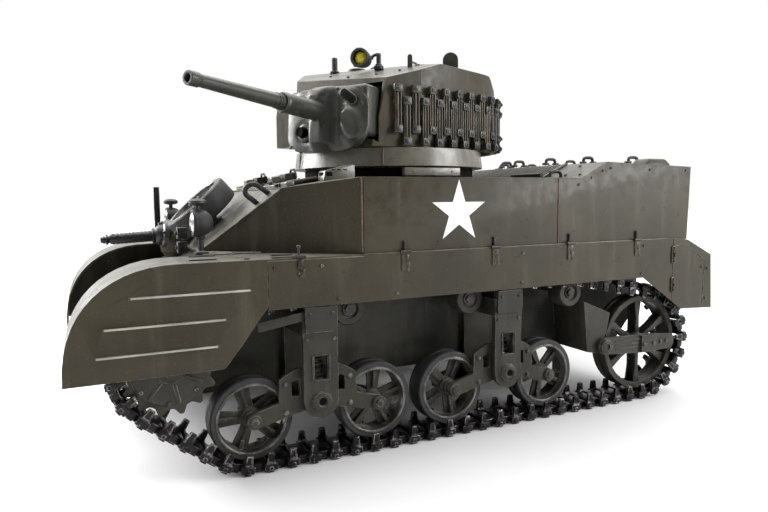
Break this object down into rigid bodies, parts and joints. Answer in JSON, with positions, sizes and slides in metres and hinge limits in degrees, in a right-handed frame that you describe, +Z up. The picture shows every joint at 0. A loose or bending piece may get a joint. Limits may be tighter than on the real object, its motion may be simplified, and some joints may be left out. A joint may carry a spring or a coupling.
{
  "type": "radio-controlled tank",
  "caption": "Radio-controlled light tank with a traversing turret, an elevating gun, sprung bogies, skirted tracks and opening hatches.",
  "frame": {"origin": "on the ground below the middle of the model's box", "axes": "+X forward along the hull, +Y to the tank's left, +Z up"},
  "size_m": [0.806, 0.3842, 0.4555],
  "materials": {
    "olive_paint": "matte olive drab paint with light edge wear",
    "track_steel": "blackened cast track links with rubbed edges",
    "wheel_rubber": "matte black tyre on a painted spoked wheel",
    "black_metal": "satin black",
    "lamp_body": "satin dark green with a yellow lens",
    "motor_can": "zinc plated",
    "tray_plastic": "matte moulded plastic",
    "white_marking": "matte white paint",
    "yellow_lens": "clear yellow lens",
    "lamp_glass": "silvered lens",
    "bare_metal": "rubbed bare steel"
  },
  "bodies": {
    "hull": {"hull_tub": "olive_paint", "hull_upper": "olive_paint", "engine_deck": "olive_paint", "front_fender_left": "olive_paint", "side_skirt_left": "olive_paint", "rear_skirt_left": "olive_paint", "track_loop_left": "track_steel", "bogie_bracket_front_left": "olive_paint", "bogie_bracket_rear_left": "olive_paint", "headlight_left": "black_metal", "drive_motor_left": "motor_can", "front_fender_right": "olive_paint", "side_skirt_right": "olive_paint", "rear_skirt_right": "olive_paint", "track_loop_right": "track_steel", "bogie_bracket_front_right": "olive_paint", "bogie_bracket_rear_right": "olive_paint", "headlight_right": "black_metal", "drive_motor_right": "motor_can", "spare_wheel": "wheel_rubber", "battery_and_control_tray": "tray_plastic"},
    "turret": {"turret_ring": "olive_paint", "turret_shell": "olive_paint", "spare_track_rack": "track_steel"},
    "gun": {"mantlet": "olive_paint", "gun_barrel": "olive_paint"},
    "turret_hatch_left": {"turret_hatch_left": "olive_paint"},
    "turret_hatch_right": {"turret_hatch_right": "olive_paint"},
    "spotlight": {"spotlight": "lamp_body"},
    "bow_gun": {"bow_gun": "black_metal"},
    "driver_hatch_left": {"driver_hatch_left": "olive_paint"},
    "driver_hatch_right": {"driver_hatch_right": "olive_paint"},
    "drive_sprocket_left": {"drive_sprocket_left": "olive_paint"},
    "bogie_arm_1_left": {"bogie_arm_1_left": "olive_paint"},
    "road_wheel_1_left": {"road_wheel_1_left": "wheel_rubber"},
    "bogie_arm_2_left": {"bogie_arm_2_left": "olive_paint"},
    "road_wheel_2_left": {"road_wheel_2_left": "wheel_rubber"},
    "bogie_arm_3_left": {"bogie_arm_3_left": "olive_paint"},
    "road_wheel_3_left": {"road_wheel_3_left": "wheel_rubber"},
    "bogie_arm_4_left": {"bogie_arm_4_left": "olive_paint"},
    "road_wheel_4_left": {"road_wheel_4_left": "wheel_rubber"},
    "return_roller_1_left": {"return_roller_1_left": "olive_paint"},
    "return_roller_2_left": {"return_roller_2_left": "olive_paint"},
    "return_roller_3_left": {"return_roller_3_left": "olive_paint"},
    "idler_arm_left": {"idler_arm_left": "olive_paint"},
    "idler_wheel_left": {"idler_wheel_left": "olive_paint"},
    "drive_sprocket_right": {"drive_sprocket_right": "olive_paint"},
    "bogie_arm_1_right": {"bogie_arm_1_right": "olive_paint"},
    "road_wheel_1_right": {"road_wheel_1_right": "wheel_rubber"},
    "bogie_arm_2_right": {"bogie_arm_2_right": "olive_paint"},
    "road_wheel_2_right": {"road_wheel_2_right": "wheel_rubber"},
    "bogie_arm_3_right": {"bogie_arm_3_right": "olive_paint"},
    "road_wheel_3_right": {"road_wheel_3_right": "wheel_rubber"},
    "bogie_arm_4_right": {"bogie_arm_4_right": "olive_paint"},
    "road_wheel_4_right": {"road_wheel_4_right": "wheel_rubber"},
    "return_roller_1_right": {"return_roller_1_right": "olive_paint"},
    "return_roller_2_right": {"return_roller_2_right": "olive_paint"},
    "return_roller_3_right": {"return_roller_3_right": "olive_paint"},
    "idler_arm_right": {"idler_arm_right": "olive_paint"},
    "idler_wheel_right": {"idler_wheel_right": "olive_paint"}
  },
  "joints": [
    {"name": "turret_traverse", "type": "hinge", "parent": "hull", "child": "turret", "pos_m": [0, 0, 0.32], "axis": [0, 0, 1], "continuous": true},
    {"name": "gun_elevation", "type": "hinge", "parent": "turret", "child": "gun", "pos_m": [0.08574, 0.0495, 0.3705], "axis": [0.5, -0.866, 0], "range_deg": [-10, 15]},
    {"name": "turret_hatch_left_hinge", "type": "hinge", "parent": "turret", "child": "turret_hatch_left", "pos_m": [-0.04411, 0.04439, 0.4411], "axis": [-0.866, -0.5, 0], "range_deg": [0, 105]},
    {"name": "turret_hatch_right_hinge", "type": "hinge", "parent": "turret", "child": "turret_hatch_right", "pos_m": [0.01639, -0.06039, 0.4411], "axis": [0.866, 0.5, 0], "range_deg": [0, 105]},
    {"name": "spotlight_swivel", "type": "hinge", "parent": "turret", "child": "spotlight", "pos_m": [0.03526, 0.04692, 0.436], "axis": [0, 0, 1], "range_deg": [-30, 45]},
    {"name": "bow_gun_traverse", "type": "hinge", "parent": "hull", "child": "bow_gun", "pos_m": [0.288, -0.06, 0.229], "axis": [0, 0, 1], "range_deg": [-8, 8]},
    {"name": "driver_hatch_left_hinge", "type": "hinge", "parent": "hull", "child": "driver_hatch_left", "pos_m": [0.156, 0.097, 0.29273], "axis": [-0.9895, 0, 0.1448], "range_deg": [0, 100]},
    {"name": "driver_hatch_right_hinge", "type": "hinge", "parent": "hull", "child": "driver_hatch_right", "pos_m": [0.156, -0.097, 0.29273], "axis": [0.9895, 0, -0.1448], "range_deg": [0, 100]},
    {"name": "sprocket_left_spin", "type": "hinge", "parent": "hull", "child": "drive_sprocket_left", "pos_m": [0.313, 0.1545, 0.115], "axis": [0, 1, 0], "continuous": true},
    {"name": "bogie_arm_1_left_swing", "type": "hinge", "parent": "hull", "child": "bogie_arm_1_left", "pos_m": [0.18, 0.1545, 0.067], "axis": [0, -1, 0], "range_deg": [0, 8], "stiffness_Nm_per_rad": 6, "springref_deg": -11.46},
    {"name": "road_wheel_1_left_spin", "type": "hinge", "parent": "bogie_arm_1_left", "child": "road_wheel_1_left", "pos_m": [0.236, 0.1545, 0.053], "axis": [0, 1, 0], "continuous": true},
    {"name": "bogie_arm_2_left_swing", "type": "hinge", "parent": "hull", "child": "bogie_arm_2_left", "pos_m": [0.156, 0.1545, 0.067], "axis": [0, 1, 0], "range_deg": [0, 8], "stiffness_Nm_per_rad": 6, "springref_deg": -11.46},
    {"name": "road_wheel_2_left_spin", "type": "hinge", "parent": "bogie_arm_2_left", "child": "road_wheel_2_left", "pos_m": [0.1, 0.1545, 0.053], "axis": [0, 1, 0], "continuous": true},
    {"name": "bogie_arm_3_left_swing", "type": "hinge", "parent": "hull", "child": "bogie_arm_3_left", "pos_m": [-0.052, 0.1545, 0.067], "axis": [0, -1, 0], "range_deg": [0, 8], "stiffness_Nm_per_rad": 6, "springref_deg": -11.46},
    {"name": "road_wheel_3_left_spin", "type": "hinge", "parent": "bogie_arm_3_left", "child": "road_wheel_3_left", "pos_m": [0.004, 0.1545, 0.053], "axis": [0, 1, 0], "continuous": true},
    {"name": "bogie_arm_4_left_swing", "type": "hinge", "parent": "hull", "child": "bogie_arm_4_left", "pos_m": [-0.076, 0.1545, 0.067], "axis": [0, 1, 0], "range_deg": [0, 8], "stiffness_Nm_per_rad": 6, "springref_deg": -11.46},
    {"name": "road_wheel_4_left_spin", "type": "hinge", "parent": "bogie_arm_4_left", "child": "road_wheel_4_left", "pos_m": [-0.132, 0.1545, 0.053], "axis": [0, 1, 0], "continuous": true},
    {"name": "return_roller_1_left_spin", "type": "hinge", "parent": "hull", "child": "return_roller_1_left", "pos_m": [0.129, 0.1545, 0.156], "axis": [0, 1, 0], "continuous": true},
    {"name": "return_roller_2_left_spin", "type": "hinge", "parent": "hull", "child": "return_roller_2_left", "pos_m": [-0.0225, 0.1545, 0.155], "axis": [0, 1, 0], "continuous": true},
    {"name": "return_roller_3_left_spin", "type": "hinge", "parent": "hull", "child": "return_roller_3_left", "pos_m": [-0.173, 0.1545, 0.151], "axis": [0, 1, 0], "continuous": true},
    {"name": "idler_arm_left_swing", "type": "hinge", "parent": "hull", "child": "idler_arm_left", "pos_m": [-0.222, 0.1545, 0.079], "axis": [0, 1, 0], "range_deg": [0, 2], "stiffness_Nm_per_rad": 10, "springref_deg": -11.46},
    {"name": "idler_wheel_left_spin", "type": "hinge", "parent": "idler_arm_left", "child": "idler_wheel_left", "pos_m": [-0.295, 0.1545, 0.0751], "axis": [0, 1, 0], "continuous": true},
    {"name": "sprocket_right_spin", "type": "hinge", "parent": "hull", "child": "drive_sprocket_right", "pos_m": [0.313, -0.1545, 0.115], "axis": [0, 1, 0], "continuous": true},
    {"name": "bogie_arm_1_right_swing", "type": "hinge", "parent": "hull", "child": "bogie_arm_1_right", "pos_m": [0.18, -0.1545, 0.067], "axis": [0, -1, 0], "range_deg": [0, 8], "stiffness_Nm_per_rad": 6, "springref_deg": -11.46},
    {"name": "road_wheel_1_right_spin", "type": "hinge", "parent": "bogie_arm_1_right", "child": "road_wheel_1_right", "pos_m": [0.236, -0.1545, 0.053], "axis": [0, 1, 0], "continuous": true},
    {"name": "bogie_arm_2_right_swing", "type": "hinge", "parent": "hull", "child": "bogie_arm_2_right", "pos_m": [0.156, -0.1545, 0.067], "axis": [0, 1, 0], "range_deg": [0, 8], "stiffness_Nm_per_rad": 6, "springref_deg": -11.46},
    {"name": "road_wheel_2_right_spin", "type": "hinge", "parent": "bogie_arm_2_right", "child": "road_wheel_2_right", "pos_m": [0.1, -0.1545, 0.053], "axis": [0, 1, 0], "continuous": true},
    {"name": "bogie_arm_3_right_swing", "type": "hinge", "parent": "hull", "child": "bogie_arm_3_right", "pos_m": [-0.052, -0.1545, 0.067], "axis": [0, -1, 0], "range_deg": [0, 8], "stiffness_Nm_per_rad": 6, "springref_deg": -11.46},
    {"name": "road_wheel_3_right_spin", "type": "hinge", "parent": "bogie_arm_3_right", "child": "road_wheel_3_right", "pos_m": [0.004, -0.1545, 0.053], "axis": [0, 1, 0], "continuous": true},
    {"name": "bogie_arm_4_right_swing", "type": "hinge", "parent": "hull", "child": "bogie_arm_4_right", "pos_m": [-0.076, -0.1545, 0.067], "axis": [0, 1, 0], "range_deg": [0, 8], "stiffness_Nm_per_rad": 6, "springref_deg": -11.46},
    {"name": "road_wheel_4_right_spin", "type": "hinge", "parent": "bogie_arm_4_right", "child": "road_wheel_4_right", "pos_m": [-0.132, -0.1545, 0.053], "axis": [0, 1, 0], "continuous": true},
    {"name": "return_roller_1_right_spin", "type": "hinge", "parent": "hull", "child": "return_roller_1_right", "pos_m": [0.129, -0.1545, 0.156], "axis": [0, 1, 0], "continuous": true},
    {"name": "return_roller_2_right_spin", "type": "hinge", "parent": "hull", "child": "return_roller_2_right", "pos_m": [-0.0225, -0.1545, 0.155], "axis": [0, 1, 0], "continuous": true},
    {"name": "return_roller_3_right_spin", "type": "hinge", "parent": "hull", "child": "return_roller_3_right", "pos_m": [-0.173, -0.1545, 0.151], "axis": [0, 1, 0], "continuous": true},
    {"name": "idler_arm_right_swing", "type": "hinge", "parent": "hull", "child": "idler_arm_right", "pos_m": [-0.222, -0.1545, 0.079], "axis": [0, 1, 0], "range_deg": [0, 2], "stiffness_Nm_per_rad": 10, "springref_deg": -11.46},
    {"name": "idler_wheel_right_spin", "type": "hinge", "parent": "idler_arm_right", "child": "idler_wheel_right", "pos_m": [-0.295, -0.1545, 0.0751], "axis": [0, 1, 0], "continuous": true}
  ],
  "couplings": [
    {"joint": "road_wheel_1_left_spin", "follows": "sprocket_left_spin", "ratio": 1.2362},
    {"joint": "road_wheel_2_left_spin", "follows": "sprocket_left_spin", "ratio": 1.2362},
    {"joint": "road_wheel_3_left_spin", "follows": "sprocket_left_spin", "ratio": 1.2362},
    {"joint": "road_wheel_4_left_spin", "follows": "sprocket_left_spin", "ratio": 1.2362},
    {"joint": "return_roller_1_left_spin", "follows": "sprocket_left_spin", "ratio": 2.9579},
    {"joint": "return_roller_2_left_spin", "follows": "sprocket_left_spin", "ratio": 2.9579},
    {"joint": "return_roller_3_left_spin", "follows": "sprocket_left_spin", "ratio": 2.9579},
    {"joint": "idler_wheel_left_spin", "follows": "sprocket_left_spin", "ratio": 0.8245},
    {"joint": "road_wheel_1_right_spin", "follows": "sprocket_right_spin", "ratio": 1.2362},
    {"joint": "road_wheel_2_right_spin", "follows": "sprocket_right_spin", "ratio": 1.2362},
    {"joint": "road_wheel_3_right_spin", "follows": "sprocket_right_spin", "ratio": 1.2362},
    {"joint": "road_wheel_4_right_spin", "follows": "sprocket_right_spin", "ratio": 1.2362},
    {"joint": "return_roller_1_right_spin", "follows": "sprocket_right_spin", "ratio": 2.9579},
    {"joint": "return_roller_2_right_spin", "follows": "sprocket_right_spin", "ratio": 2.9579},
    {"joint": "return_roller_3_right_spin", "follows": "sprocket_right_spin", "ratio": 2.9579},
    {"joint": "idler_wheel_right_spin", "follows": "sprocket_right_spin", "ratio": 0.8245}
  ]
}
